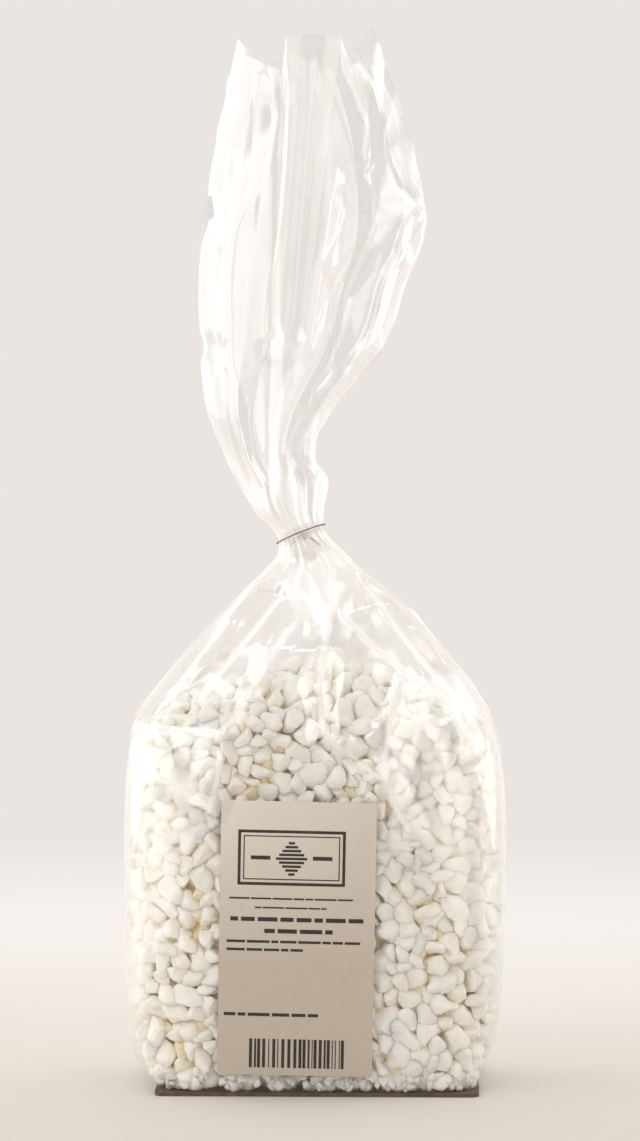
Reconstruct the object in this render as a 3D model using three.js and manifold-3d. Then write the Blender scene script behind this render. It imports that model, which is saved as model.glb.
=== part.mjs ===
// A clear block-bottom bag of sugar nibs. It stands on a card base, its neck is gathered and held by
// a wire tie, and the spare film above the tie flares out into an open, pleated sleeve.
// Millimetres, +Z up, the label faces -Y. The origin is the middle of the base, on the table.
import * as THREE from "three";
import { mergeVertices } from "three/addons/utils/BufferGeometryUtils.js";
import Module from "manifold-3d";

const wasm = await Module();
wasm.setup();

// The card that the bag stands on
const CARD = { width: 100, depth: 60, thickness: 1.2, cornerRadius: 2.5 };

// The bag, as cross-sections from the card up to the mouth. left and right are where its outline
// stands at that height, seen from the front. A section is a superellipse: squareness 2 is an oval,
// and more is squarer. foldDepth is how far the folds cut in, as a share of the section's size.
const TIE_HEIGHT = 172;
const MOUTH_HEIGHT = 331.5;
const STATIONS = [
  { height: CARD.thickness, left: -49.6, right: 49.4, halfDepth: 29.5, squareness: 8, foldDepth: 0 },
  { height: 3.5, left: -51.6, right: 50.4, halfDepth: 30.3, squareness: 6.5, foldDepth: 0 },
  { height: 9, left: -56.6, right: 53.2, halfDepth: 31.2, squareness: 4.8, foldDepth: 0 },
  { height: 22, left: -60, right: 56.6, halfDepth: 32, squareness: 3.9, foldDepth: 0 },
  { height: 50, left: -60.6, right: 58.2, halfDepth: 32.5, squareness: 3.6, foldDepth: 0 },
  { height: 88, left: -60.4, right: 58.1, halfDepth: 32.2, squareness: 3.6, foldDepth: 0 },
  { height: 104, left: -59.4, right: 56.4, halfDepth: 31, squareness: 3.6, foldDepth: 0.01 },
  { height: 115, left: -56.5, right: 53.5, halfDepth: 28.8, squareness: 3.5, foldDepth: 0.03 },
  { height: 127.5, left: -47.5, right: 47.1, halfDepth: 25, squareness: 3.1, foldDepth: 0.07 },
  { height: 139, left: -37.5, right: 37.8, halfDepth: 20.8, squareness: 2.8, foldDepth: 0.11 },
  { height: 150, left: -27.8, right: 28.4, halfDepth: 16.2, squareness: 2.5, foldDepth: 0.15 },
  { height: 158, left: -20, right: 18.2, halfDepth: 12.4, squareness: 2.3, foldDepth: 0.17 },
  { height: 164.5, left: -13.6, right: 10.2, halfDepth: 9.4, squareness: 2, foldDepth: 0.14 },
  { height: TIE_HEIGHT, left: -13.2, right: 2.2, halfDepth: 7.2, squareness: 2, foldDepth: 0.06 },
  { height: 178, left: -19.4, right: 1.2, halfDepth: 8.2, squareness: 2, foldDepth: 0.16 },
  { height: 190, left: -26.4, right: 2.7, halfDepth: 9.8, squareness: 2, foldDepth: 0.26 },
  { height: 199, left: -30.2, right: -2, halfDepth: 10.6, squareness: 2.1, foldDepth: 0.3 },
  { height: 213, left: -35.2, right: 3.9, halfDepth: 11.8, squareness: 2.2, foldDepth: 0.34 },
  { height: 238, left: -37.5, right: 21, halfDepth: 13.6, squareness: 2.3, foldDepth: 0.36 },
  { height: 256, left: -37.7, right: 26.7, halfDepth: 14.8, squareness: 2.4, foldDepth: 0.36 },
  { height: 276, left: -36, right: 32.9, halfDepth: 15.6, squareness: 2.5, foldDepth: 0.36 },
  { height: 306, left: -30.4, right: 28.2, halfDepth: 16, squareness: 2.5, foldDepth: 0.36 },
  { height: MOUTH_HEIGHT, left: -25.2, right: 17, halfDepth: 15.6, squareness: 2.5, foldDepth: 0.36 },
];

// The folds that run from the shoulders through the neck to the mouth, anticlockwise from +X. Each has
// the angle of its ridge, the depth of the valley after it (a share of foldDepth), and how far the
// film's cut edge dips below MOUTH_HEIGHT at the ridge and in that valley.
const FOLDS = [
  { ridge: 2, valley: 0.45, ridgeDip: 14, valleyDip: 13 },
  { ridge: 40, valley: 0.6, ridgeDip: 10, valleyDip: 15 },
  { ridge: 84, valley: 0.45, ridgeDip: 13, valleyDip: 9 },
  { ridge: 132, valley: 0.6, ridgeDip: 16, valleyDip: 12 },
  { ridge: 180, valley: 0.3, ridgeDip: 6, valleyDip: 9 },
  { ridge: 211, valley: 0.2, ridgeDip: 11, valleyDip: 13 },
  { ridge: 241, valley: 0.45, ridgeDip: 15, valleyDip: 16 },
  { ridge: 255, valley: 0.1, ridgeDip: 6, valleyDip: 5 },
  { ridge: 300, valley: 0.5, ridgeDip: 6, valleyDip: 15 },
  { ridge: 315, valley: 0.45, ridgeDip: 14, valleyDip: 10 },
  { ridge: 331, valley: 0.6, ridgeDip: 3, valleyDip: 11 },
];
const STEPS_PER_FLANK = 3;

// The heights of the bag's rings of vertices. The sleeve's are taken before its edge dips, and its
// hollow reaches down to the first of them that is above HOLLOW_FLOOR.
const BODY_RINGS = [CARD.thickness, 2.2, 3.5, 6, 9, 15, 22, 36, 50, 70, 88, 97, 104, 110, 115, 121, 127.5];
const NECK_RINGS = [133, 139, 144.5, 150, 154, 158, 161.5, 164.5, 167, 169.5, TIE_HEIGHT, 174.5];
const SLEEVE_RINGS = [178, 183, 190, 194.5, 199, 206, 213, 225, 238, 247, 256, 266, 276, 291, 306, 319];
SLEEVE_RINGS.push(MOUTH_HEIGHT);
const HOLLOW_FLOOR = 205;
const FILM_WALL = 1.6;

const LABEL = {
  width: 47.7,
  height: 84.7,
  centreX: -6,
  centreHeight: 49.2,
  tilt: -1.1,
  gap: 0.3,
  thickness: 0.3,
  columns: 8,
  rows: 12,
};

// The wire tie: a narrow strip with a wire along its middle, wound once round the neck, its two
// ends twisted together behind. It rises by slopeX and slopeY for each millimetre along +X and +Y,
// and the twist sinks by twistDroop for each millimetre of its length.
const TIE = {
  width: 4,
  edgeThickness: 0.45,
  wireWidth: 1,
  wireThickness: 1,
  gap: 0.35,
  slopeX: 0.4,
  slopeY: -0.12,
  segments: 48,
  strandRadius: 0.8,
  twistRadius: 0.75,
  twistTurns: 2.5,
  twistLength: 11,
  twistDroop: 0.1,
  endLength: 6,
  endSpread: 4,
  endDroop: 3,
};

// A value of STATIONS at any height, on a smooth curve through the stations
function stationCurve(key) {
  const heights = STATIONS.map((station) => station.height);
  const values = STATIONS.map((station) => station[key]);
  const curve = new THREE.CubicInterpolant(heights, values, 1, new Float32Array(1));
  return (height) => curve.evaluate(height)[0];
}
const leftAt = stationCurve("left");
const rightAt = stationCurve("right");
const halfDepthAt = stationCurve("halfDepth");
const squarenessAt = stationCurve("squareness");
const foldDepthAt = stationCurve("foldDepth");
const centreXAt = (height) => (leftAt(height) + rightAt(height)) / 2;
const halfWidthAt = (height) => (rightAt(height) - leftAt(height)) / 2;

// The angles round the bag at which it has vertices: every ridge and valley, and the steps between.
// At each, cut is 0 on a ridge and the valley's depth in a valley.
function foldSamples() {
  const samples = [];
  FOLDS.forEach((fold, index) => {
    const next = FOLDS[(index + 1) % FOLDS.length];
    const nextRidge = next.ridge + (index === FOLDS.length - 1 ? 360 : 0);
    const middle = (fold.ridge + nextRidge) / 2;
    for (let step = 0; step < STEPS_PER_FLANK; step++) {
      const share = step / STEPS_PER_FLANK;
      samples.push({
        angle: THREE.MathUtils.degToRad(THREE.MathUtils.lerp(fold.ridge, middle, share)),
        cut: share * fold.valley,
        dip: THREE.MathUtils.lerp(fold.ridgeDip, fold.valleyDip, share),
      });
    }
    for (let step = 0; step < STEPS_PER_FLANK; step++) {
      const share = step / STEPS_PER_FLANK;
      samples.push({
        angle: THREE.MathUtils.degToRad(THREE.MathUtils.lerp(middle, nextRidge, share)),
        cut: (1 - share) * fold.valley,
        dip: THREE.MathUtils.lerp(fold.valleyDip, next.ridgeDip, share),
      });
    }
  });
  return samples;
}

// A point of the bag's outer surface. inset moves it towards the middle of its section.
function bagPoint(angle, cut, sectionHeight, inset = 0) {
  const n = squarenessAt(sectionHeight);
  const cos = Math.cos(angle);
  const sin = Math.sin(angle);
  const roundness = (Math.abs(cos) ** n + Math.abs(sin) ** n) ** (-1 / n);
  const reach = roundness * (1 - foldDepthAt(sectionHeight) * cut);
  const x = halfWidthAt(sectionHeight) * reach * cos;
  const y = halfDepthAt(sectionHeight) * reach * sin;
  const kept = 1 - inset / Math.hypot(x, y);
  return new THREE.Vector3(centreXAt(sectionHeight) + x * kept, y * kept, sectionHeight);
}

// The front face's y at a place on it, seen from -Y
function frontAt(x, height) {
  const n = squarenessAt(height);
  const across = Math.abs((x - centreXAt(height)) / halfWidthAt(height));
  return -halfDepthAt(height) * (1 - across ** n) ** (1 / n);
}

// A closed body through a stack of rings with the same number of points, with a flat fan on each end
function loftedBody(rings) {
  const count = rings[0].length;
  const positions = rings.flat().flatMap((point) => point.toArray());
  const middles = [rings[0], rings.at(-1)].map((ring) =>
    ring.reduce((sum, point) => sum.add(point), new THREE.Vector3()).divideScalar(count),
  );
  middles.forEach((middle) => positions.push(...middle.toArray()));
  const firstMiddle = rings.length * count;
  const lastMiddle = firstMiddle + 1;
  const index = [];
  for (let i = 0; i < count; i++) {
    const j = (i + 1) % count;
    index.push(firstMiddle, j, i);
    for (let level = 0; level < rings.length - 1; level++) {
      const low = level * count;
      const high = low + count;
      index.push(low + i, low + j, high + j, low + i, high + j, high + i);
    }
    const top = (rings.length - 1) * count;
    index.push(lastMiddle, top + i, top + j);
  }
  return geometryOf(positions, index);
}

function geometryOf(positions, index) {
  const geometry = new THREE.BufferGeometry();
  geometry.setAttribute("position", new THREE.Float32BufferAttribute(positions, 3));
  geometry.setIndex(index);
  return geometry;
}

function toSolid(geometry) {
  const bare = new THREE.BufferGeometry();
  bare.setAttribute("position", geometry.getAttribute("position"));
  bare.setIndex(geometry.index);
  const merged = mergeVertices(bare, 1e-4);
  return new wasm.Manifold(
    new wasm.Mesh({
      numProp: 3,
      vertProperties: merged.attributes.position.array,
      triVerts: new Uint32Array(merged.index.array),
    }),
  );
}

function fromSolid(solid) {
  const { vertProperties, triVerts } = solid.getMesh();
  return geometryOf(Array.from(vertProperties), Array.from(triVerts));
}

// The filled body, the gathered neck and the open sleeve, all one film. The body is solid, because
// the sugar fills it and the tie closes it. The sleeve is hollow down to a little above the tie.
function bagGeometry() {
  const samples = foldSamples();
  const levelRing = (height) => samples.map(({ angle, cut }) => bagPoint(angle, cut, height));
  const sleeveRing = (inset) => (sectionHeight) =>
    samples.map(({ angle, cut, dip }) => {
      const point = bagPoint(angle, cut, sectionHeight, inset);
      point.z -= (dip * (sectionHeight - SLEEVE_RINGS[0])) / (MOUTH_HEIGHT - SLEEVE_RINGS[0]);
      return point;
    });
  const hollowRings = SLEEVE_RINGS.filter((height) => height > HOLLOW_FLOOR).reverse();
  return loftedBody([
    ...BODY_RINGS.map(levelRing),
    ...NECK_RINGS.map(levelRing),
    ...SLEEVE_RINGS.map(sleeveRing(0)),
    ...hollowRings.map(sleeveRing(FILM_WALL)),
  ]);
}

function cardGeometry() {
  const { width, depth, thickness, cornerRadius } = CARD;
  const outline = new THREE.Shape();
  const right = width / 2 - cornerRadius;
  const back = depth / 2 - cornerRadius;
  outline.absarc(right, back, cornerRadius, 0, Math.PI / 2);
  outline.absarc(-right, back, cornerRadius, Math.PI / 2, Math.PI);
  outline.absarc(-right, -back, cornerRadius, Math.PI, 1.5 * Math.PI);
  outline.absarc(right, -back, cornerRadius, 1.5 * Math.PI, 2 * Math.PI);
  return new THREE.ExtrudeGeometry(outline, { depth: thickness, bevelEnabled: false, curveSegments: 6 });
}

// A sheet of paper that follows the bag's front. Its rings run round it from edge to edge.
function labelGeometry() {
  const { width, height, centreX, centreHeight, gap, thickness, columns, rows } = LABEL;
  const tilt = THREE.MathUtils.degToRad(LABEL.tilt);
  const at = (column, row, out) => {
    const across = (column / columns - 0.5) * width;
    const up = (row / rows - 0.5) * height;
    const x = centreX + across * Math.cos(tilt) - up * Math.sin(tilt);
    const z = centreHeight + across * Math.sin(tilt) + up * Math.cos(tilt);
    return new THREE.Vector3(x, frontAt(x, z) - out, z);
  };
  const rings = [];
  for (let row = 0; row <= rows; row++) {
    const ring = [];
    for (let column = 0; column <= columns; column++) ring.push(at(column, row, gap + thickness));
    for (let column = columns; column >= 0; column--) ring.push(at(column, row, gap));
    rings.push(ring);
  }
  return loftedBody(rings);
}

// The strip round the neck: a ring of sections, each a flat strip with the wire's bump in its middle
function tieStrip() {
  const { width, edgeThickness, wireWidth, wireThickness, gap, slopeX, slopeY, segments } = TIE;
  const centreX = centreXAt(TIE_HEIGHT);
  const slopedHeight = (angle, lift) => {
    let height = TIE_HEIGHT;
    for (let pass = 0; pass < 4; pass++) {
      const point = bagPoint(angle, 0, height);
      height = TIE_HEIGHT + lift + slopeX * (point.x - centreX) + slopeY * point.y;
    }
    return height;
  };
  const section = [
    { lift: -width / 2, out: 0 },
    { lift: -width / 2, out: edgeThickness },
    { lift: -wireWidth / 2, out: edgeThickness },
    { lift: 0, out: wireThickness },
    { lift: wireWidth / 2, out: edgeThickness },
    { lift: width / 2, out: edgeThickness },
    { lift: width / 2, out: 0 },
    { lift: 0, out: 0 },
  ];
  const positions = [];
  const index = [];
  for (let segment = 0; segment < segments; segment++) {
    const angle = (segment / segments) * 2 * Math.PI;
    section.forEach(({ lift, out }) => {
      positions.push(...bagPoint(angle, 0, slopedHeight(angle, lift), -gap - out).toArray());
    });
    const here = segment * section.length;
    const there = ((segment + 1) % segments) * section.length;
    for (let corner = 0; corner < section.length; corner++) {
      const after = (corner + 1) % section.length;
      index.push(here + corner, there + corner, there + after, here + corner, there + after, here + after);
    }
  }
  return geometryOf(positions, index);
}

// One of the two ends: a helix round the other end that points away behind the neck, then splays out
function tieStrand(phase) {
  const { strandRadius, twistRadius, twistTurns, twistLength, twistDroop, endLength, endSpread } = TIE;
  const start = bagPoint(Math.PI / 2, 0, TIE_HEIGHT, -TIE.gap - TIE.wireThickness);
  start.z += TIE.slopeY * start.y;
  const points = [];
  const pointsPerTurn = 8;
  const steps = twistTurns * pointsPerTurn;
  for (let step = 0; step <= steps; step++) {
    const turn = phase + (step / pointsPerTurn) * 2 * Math.PI;
    const along = (step / steps) * twistLength;
    const x = twistRadius * Math.cos(turn);
    const z = twistRadius * Math.sin(turn) - twistDroop * along;
    points.push(new THREE.Vector3(x, along, z).add(start));
  }
  const side = Math.sign(points.at(-1).x - start.x);
  points.push(new THREE.Vector3(side * endSpread, endLength, -TIE.endDroop).add(points.at(-1)));
  const section = new THREE.Shape();
  section.absarc(0, 0, strandRadius, 0, 2 * Math.PI);
  return new THREE.ExtrudeGeometry(section, {
    steps: 60,
    curveSegments: 3,
    bevelEnabled: false,
    extrudePath: new THREE.CatmullRomCurve3(points),
  });
}

function tieGeometry() {
  const whole = [tieStrand(0), tieStrand(Math.PI)]
    .map(toSolid)
    .reduce((sum, strand) => sum.add(strand), toSolid(tieStrip()));
  return fromSolid(whole);
}

function part(name, geometry, color, roughness, metalness = 0) {
  const mesh = new THREE.Mesh(geometry, new THREE.MeshStandardMaterial({ color, roughness, metalness }));
  mesh.name = name;
  return mesh;
}

const bagOfSugar = new THREE.Group();
bagOfSugar.add(
  part("bag", bagGeometry(), 0xf4f2ec, 0.25),
  part("base_card", cardGeometry(), 0x4a3826, 0.8),
  part("label", labelGeometry(), 0xd9cdbb, 0.85),
  part("neck_tie", tieGeometry(), 0x8a8a86, 0.35),
);

export default bagOfSugar;
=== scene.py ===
# A clear film bag of sugar nibs on a card base, with a paper label and a wire tie.
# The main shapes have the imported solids' measures. Lengths here are millimetres until a mesh is
# made, and metres in Blender.
import math

import bmesh
import bpy
import numpy as np
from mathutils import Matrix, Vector
from mathutils.kdtree import KDTree


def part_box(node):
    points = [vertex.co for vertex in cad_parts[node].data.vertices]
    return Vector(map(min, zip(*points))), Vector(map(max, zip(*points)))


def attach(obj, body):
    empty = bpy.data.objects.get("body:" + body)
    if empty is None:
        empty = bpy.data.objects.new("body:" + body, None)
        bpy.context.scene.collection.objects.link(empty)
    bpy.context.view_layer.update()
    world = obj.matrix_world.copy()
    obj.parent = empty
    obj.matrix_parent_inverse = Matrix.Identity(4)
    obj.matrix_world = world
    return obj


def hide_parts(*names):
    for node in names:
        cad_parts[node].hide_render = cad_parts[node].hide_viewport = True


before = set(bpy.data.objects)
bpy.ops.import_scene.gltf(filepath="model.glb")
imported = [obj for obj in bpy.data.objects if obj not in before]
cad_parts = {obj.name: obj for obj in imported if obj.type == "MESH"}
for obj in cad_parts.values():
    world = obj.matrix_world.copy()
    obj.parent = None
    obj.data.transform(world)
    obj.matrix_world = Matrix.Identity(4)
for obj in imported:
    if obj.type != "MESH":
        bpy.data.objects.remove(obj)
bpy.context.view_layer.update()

MM = 0.001
SEED = 11

# The bag's cross-sections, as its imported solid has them: height, left, right, half depth,
# squareness of the superellipse, and how far the folds cut in
CARD_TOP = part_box("base_card")[1][2] / MM
TIE_HEIGHT = 172.0
SLEEVE_START = 178.0
MOUTH_HEIGHT = 331.5
STATIONS = [
    (CARD_TOP, -49.6, 49.4, 29.5, 8.0, 0.0),
    (3.5, -51.6, 50.4, 30.3, 6.5, 0.0),
    (9, -56.6, 53.2, 31.2, 4.8, 0.0),
    (22, -60, 56.6, 32, 3.9, 0.0),
    (50, -60.6, 58.2, 32.5, 3.6, 0.0),
    (88, -60.4, 58.1, 32.2, 3.6, 0.0),
    (104, -59.4, 56.4, 31, 3.6, 0.01),
    (115, -56.5, 53.5, 28.8, 3.5, 0.03),
    (127.5, -47.5, 47.1, 25, 3.1, 0.07),
    (139, -37.5, 37.8, 20.8, 2.8, 0.11),
    (150, -27.8, 28.4, 16.2, 2.5, 0.15),
    (158, -20, 18.2, 12.4, 2.3, 0.17),
    (164.5, -13.6, 10.2, 9.4, 2, 0.14),
    (TIE_HEIGHT, -13.2, 2.2, 7.2, 2, 0.06),
    (SLEEVE_START, -19.4, 1.2, 8.2, 2, 0.16),
    (190, -26.4, 2.7, 9.8, 2, 0.26),
    (199, -30.2, -2, 10.6, 2.1, 0.3),
    (213, -35.2, 3.9, 11.8, 2.2, 0.34),
    (238, -37.5, 21, 13.6, 2.3, 0.36),
    (256, -37.7, 26.7, 14.8, 2.4, 0.36),
    (276, -36, 32.9, 15.6, 2.5, 0.36),
    (306, -30.4, 28.2, 16, 2.5, 0.36),
    (MOUTH_HEIGHT, -25.2, 17, 15.6, 2.5, 0.36),
]

# The folds, as the solid has them: the ridge's angle, the valley's depth after it, and how far
# the film's cut edge dips at the ridge and in the valley
FOLDS = [
    (2, 0.45, 14, 13),
    (40, 0.6, 10, 15),
    (84, 0.45, 13, 9),
    (132, 0.6, 16, 12),
    (180, 0.3, 6, 9),
    (211, 0.2, 11, 13),
    (241, 0.45, 15, 16),
    (255, 0.1, 6, 5),
    (300, 0.5, 6, 15),
    (315, 0.45, 14, 10),
    (331, 0.6, 3, 11),
]


def station_curve(column):
    """A function that gives one column of STATIONS at any heights, smoothly."""
    heights, values = np.array(STATIONS)[:, [0, column]].T
    slopes = np.gradient(values, heights)
    slopes[1:-1] = (values[2:] - values[:-2]) / (heights[2:] - heights[:-2])

    def at(height):
        h = np.clip(height, heights[0], heights[-1])
        i = np.clip(np.searchsorted(heights, h, side="right") - 1, 0, len(heights) - 2)
        span = heights[i + 1] - heights[i]
        t = (h - heights[i]) / span
        start = (1 + 2 * t) * (1 - t) ** 2 * values[i] + t * (1 - t) ** 2 * span * slopes[i]
        end = t**2 * (3 - 2 * t) * values[i + 1] + t**2 * (t - 1) * span * slopes[i + 1]
        return start + end

    return at


left_at = station_curve(1)
right_at = station_curve(2)
half_depth_at = station_curve(3)
squareness_at = station_curve(4)
fold_depth_at = station_curve(5)


def centre_at(height):
    return (left_at(height) + right_at(height)) / 2


def half_width_at(height):
    return (right_at(height) - left_at(height)) / 2


def bag_points(angle, cut, height, out=0.0):
    """Points of the bag's surface. out moves them away from the middle of their section."""
    n = squareness_at(height)
    cos = np.cos(angle)
    sin = np.sin(angle)
    reach = (np.abs(cos) ** n + np.abs(sin) ** n) ** (-1 / n) * (1 - fold_depth_at(height) * cut)
    x = half_width_at(height) * reach * cos
    y = half_depth_at(height) * reach * sin
    kept = 1 + out / np.hypot(x, y)
    return np.stack([centre_at(height) + x * kept, y * kept, height + 0 * x], axis=-1)


def front_at(x, height):
    """The front face's y at places on it."""
    n = squareness_at(height)
    across = np.abs((x - centre_at(height)) / half_width_at(height))
    return -half_depth_at(height) * (1 - across**n) ** (1 / n)


def smooth_step(x, low, high):
    t = np.clip((x - low) / (high - low), 0, 1)
    return t * t * (3 - 2 * t)


def tent_wave(phase):
    """1 where the phase is whole, 0 half-way, with straight flanks."""
    return np.abs(2 * (phase - np.floor(phase)) - 1)


def make_mesh(name, vertices, faces, material, smooth=True):
    """A mesh object from millimetre vertices and lists of their numbers."""
    mesh = bpy.data.meshes.new(name)
    mesh.from_pydata((np.asarray(vertices) * MM).tolist(), [], faces)
    if smooth:
        mesh.shade_smooth()
    mesh.materials.append(material)
    piece = bpy.data.objects.new(name, mesh)
    bpy.context.scene.collection.objects.link(piece)
    return piece


def set_values(piece, name, values):
    """A value at each vertex, which the piece's material reads by its name."""
    attribute = piece.data.attributes.new(name, "FLOAT", "POINT")
    attribute.data.foreach_set("value", values.reshape(-1))


def grid_faces(rows, columns, closed):
    """Quads over a grid of vertices. closed joins its last column to its first."""
    low = np.arange(rows - 1)[:, None] * columns
    here = np.arange(columns if closed else columns - 1)[None, :]
    there = (here + 1) % columns
    quads = np.stack([low + here, low + there, low + columns + there, low + columns + here], axis=-1)
    return quads.reshape(-1, 4)


def closed_sheet_faces(rows, columns):
    """Quads that close a sheet: its front grid, its back grid and the edge between them."""
    sheet = grid_faces(rows, columns, closed=False)
    under = sheet[:, ::-1] + rows * columns
    rim = np.concatenate(
        [
            np.arange(columns),
            np.arange(1, rows) * columns + columns - 1,
            np.arange(columns - 2, -1, -1) + (rows - 1) * columns,
            np.arange(rows - 2, 0, -1) * columns,
        ]
    )
    after = np.roll(rim, -1)
    edge = np.stack([rim, rim + rows * columns, after + rows * columns, after], axis=1)
    return np.concatenate([sheet, under, edge])


# Materials


def new_material(name):
    material = bpy.data.materials.new(name)
    material.use_nodes = True
    nodes = material.node_tree.nodes
    return material, nodes, material.node_tree.links, nodes["Principled BSDF"]


def vertex_value(nodes, name):
    """A value that set_values has given the vertices."""
    node = nodes.new("ShaderNodeAttribute")
    node.attribute_name = name
    return node.outputs["Fac"]


def place_nodes(nodes, links, kind):
    """The shaded place, whole and as its x, y and z."""
    coordinates = nodes.new("ShaderNodeTexCoord")
    split = nodes.new("ShaderNodeSeparateXYZ")
    links.new(coordinates.outputs[kind], split.inputs[0])
    return coordinates.outputs[kind], split.outputs


def noise_node(nodes, links, scale, detail, roughness):
    coordinates = nodes.new("ShaderNodeTexCoord")
    noise = nodes.new("ShaderNodeTexNoise")
    noise.inputs["Scale"].default_value = scale
    noise.inputs["Detail"].default_value = detail
    noise.inputs["Roughness"].default_value = roughness
    links.new(coordinates.outputs["Object"], noise.inputs["Vector"])
    return noise.outputs["Fac"]


def math_node(nodes, links, operation, *values):
    """A calculation with two or three values, each a socket or a number."""
    node = nodes.new("ShaderNodeMath")
    node.operation = operation
    for socket, value in zip(node.inputs, values):
        if isinstance(value, (int, float)):
            socket.default_value = value
        else:
            links.new(value, socket)
    return node.outputs[0]


def map_range(nodes, links, value, from_min, from_max, to_min, to_max):
    node = nodes.new("ShaderNodeMapRange")
    links.new(value, node.inputs["Value"])
    node.inputs["From Min"].default_value = from_min
    node.inputs["From Max"].default_value = from_max
    node.inputs["To Min"].default_value = to_min
    node.inputs["To Max"].default_value = to_max
    return node.outputs["Result"]


def colour_ramp(nodes, links, value, stops):
    ramp = nodes.new("ShaderNodeValToRGB")
    links.new(value, ramp.inputs["Fac"])
    first, last = ramp.color_ramp.elements
    first.position, first.color = stops[0][0], (*stops[0][1], 1)
    last.position, last.color = stops[-1][0], (*stops[-1][1], 1)
    for position, colour in stops[1:-1]:
        ramp.color_ramp.elements.new(position).color = (*colour, 1)
    return ramp.outputs["Color"]


def mix_colours(nodes, links, factor, first, second):
    """A mix of two colours, each a socket or a tuple."""
    mix = nodes.new("ShaderNodeMix")
    mix.data_type = "RGBA"
    links.new(factor, mix.inputs["Factor"])
    for socket, colour in ((mix.inputs["A"], first), (mix.inputs["B"], second)):
        if isinstance(colour, tuple):
            socket.default_value = colour
        else:
            links.new(colour, socket)
    return mix.outputs["Result"]


def add_bump(nodes, links, bsdf, height, strength, distance):
    bump = nodes.new("ShaderNodeBump")
    bump.inputs["Strength"].default_value = strength
    bump.inputs["Distance"].default_value = distance
    links.new(height, bump.inputs["Height"])
    links.new(bump.outputs["Normal"], bsdf.inputs["Normal"])


# How opaque the film is: flat on, and what a glancing angle, haze and each kind of mark add
FLAT_ALPHA = 0.08
GLANCING_ALPHA = 0.7
HAZE_ALPHA = 0.06
MARK_ALPHAS = {"crease": 0.13, "layers": 0.3, "line": 0.52}

# How rough it is: clear, where it is double, and what folding adds
CLEAR_ROUGHNESS = 0.12
DOUBLE_ROUGHNESS = 0.36
LINE_ROUGHNESS = 0.35


def film_material():
    """Clear film: it mirrors more at a glancing angle, where it is creased and where it is double."""
    material, nodes, links, bsdf = new_material("clear_film")
    bsdf.inputs["Base Color"].default_value = (0.98, 0.975, 0.965, 1)
    facing = nodes.new("ShaderNodeLayerWeight")
    facing.inputs["Blend"].default_value = 0.5
    glancing = math_node(nodes, links, "POWER", facing.outputs["Facing"], 3.0)
    alpha = math_node(nodes, links, "MULTIPLY_ADD", glancing, GLANCING_ALPHA, FLAT_ALPHA)
    for name, more in MARK_ALPHAS.items():
        alpha = math_node(nodes, links, "MULTIPLY_ADD", vertex_value(nodes, name), more, alpha)
    clouds = noise_node(nodes, links, 60, 4, 0.6)
    haze = map_range(nodes, links, clouds, 0.45, 0.75, 0.0, HAZE_ALPHA)
    alpha = math_node(nodes, links, "ADD", alpha, haze)
    alpha.node.use_clamp = True
    links.new(alpha, bsdf.inputs["Alpha"])
    layers = vertex_value(nodes, "layers")
    line = vertex_value(nodes, "line")
    roughness = map_range(nodes, links, layers, 0, 1, CLEAR_ROUGHNESS, DOUBLE_ROUGHNESS)
    roughness = math_node(nodes, links, "MULTIPLY_ADD", line, LINE_ROUGHNESS, roughness)
    links.new(roughness, bsdf.inputs["Roughness"])
    links.new(map_range(nodes, links, line, 0, 1, 0.8, 0.1), bsdf.inputs["Metallic"])
    add_bump(nodes, links, bsdf, noise_node(nodes, links, 140, 2, 0.5), 0.1, 0.0008)
    return material


def sugar_material():
    """Pressed sugar: white and dull with a fine grain, and warmer and darker in the depth of the heap and
    between the nibs, which is painted shade.
    """
    material, nodes, links, bsdf = new_material("sugar")
    # The ramp's low end is the warm colour of painted shade, which deep and inner nibs take; its high end is
    # the sugar's own white
    stops = [(0.0, (0.9, 0.76, 0.49)), (0.4, (0.95, 0.9, 0.8)), (1.0, (0.97, 0.95, 0.915))]
    colour = colour_ramp(nodes, links, vertex_value(nodes, "tone_and_shade"), stops)
    links.new(colour, bsdf.inputs["Base Color"])
    bsdf.inputs["Roughness"].default_value = 0.6
    bsdf.inputs["Subsurface Weight"].default_value = 0.6
    bsdf.inputs["Subsurface Radius"].default_value = (1.0, 0.93, 0.85)
    bsdf.inputs["Subsurface Scale"].default_value = 0.003
    add_bump(nodes, links, bsdf, noise_node(nodes, links, 800, 5, 0.7), 0.5, 0.0006)
    return material


def card_material():
    material, nodes, links, bsdf = new_material("dark_card")
    fibres = noise_node(nodes, links, 420, 5, 0.65)
    stops = [(0.3, (0.065, 0.04, 0.02)), (0.7, (0.14, 0.095, 0.058))]
    colour = colour_ramp(nodes, links, fibres, stops)
    links.new(colour, bsdf.inputs["Base Color"])
    bsdf.inputs["Roughness"].default_value = 0.75
    add_bump(nodes, links, bsdf, fibres, 0.4, 0.0002)
    return material


def paper_material():
    """Beige paper, with painted light that makes it paler towards its top and its left."""
    material, nodes, links, bsdf = new_material("label_paper")
    fibres = noise_node(nodes, links, 900, 5, 0.7)
    stops = [(0.25, (0.50, 0.43, 0.36)), (0.75, (0.56, 0.485, 0.405))]
    colour = colour_ramp(nodes, links, fibres, stops)
    x, _, z = place_nodes(nodes, links, "Object")[1]
    # Painted light: upwards and to the left, the paper is mixed towards a lit, paler colour
    up = map_range(nodes, links, z, 0.04, 0.092, 0.0, 0.6)
    aside = map_range(nodes, links, x, 0.018, -0.03, -0.1, 0.5)
    painted_light = math_node(nodes, links, "MULTIPLY_ADD", up, aside, up)
    colour = mix_colours(nodes, links, painted_light, colour, (0.78, 0.73, 0.65, 1))
    links.new(colour, bsdf.inputs["Base Color"])
    bsdf.inputs["Roughness"].default_value = 0.7
    add_bump(nodes, links, bsdf, fibres, 0.15, 0.0001)
    return material


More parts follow.
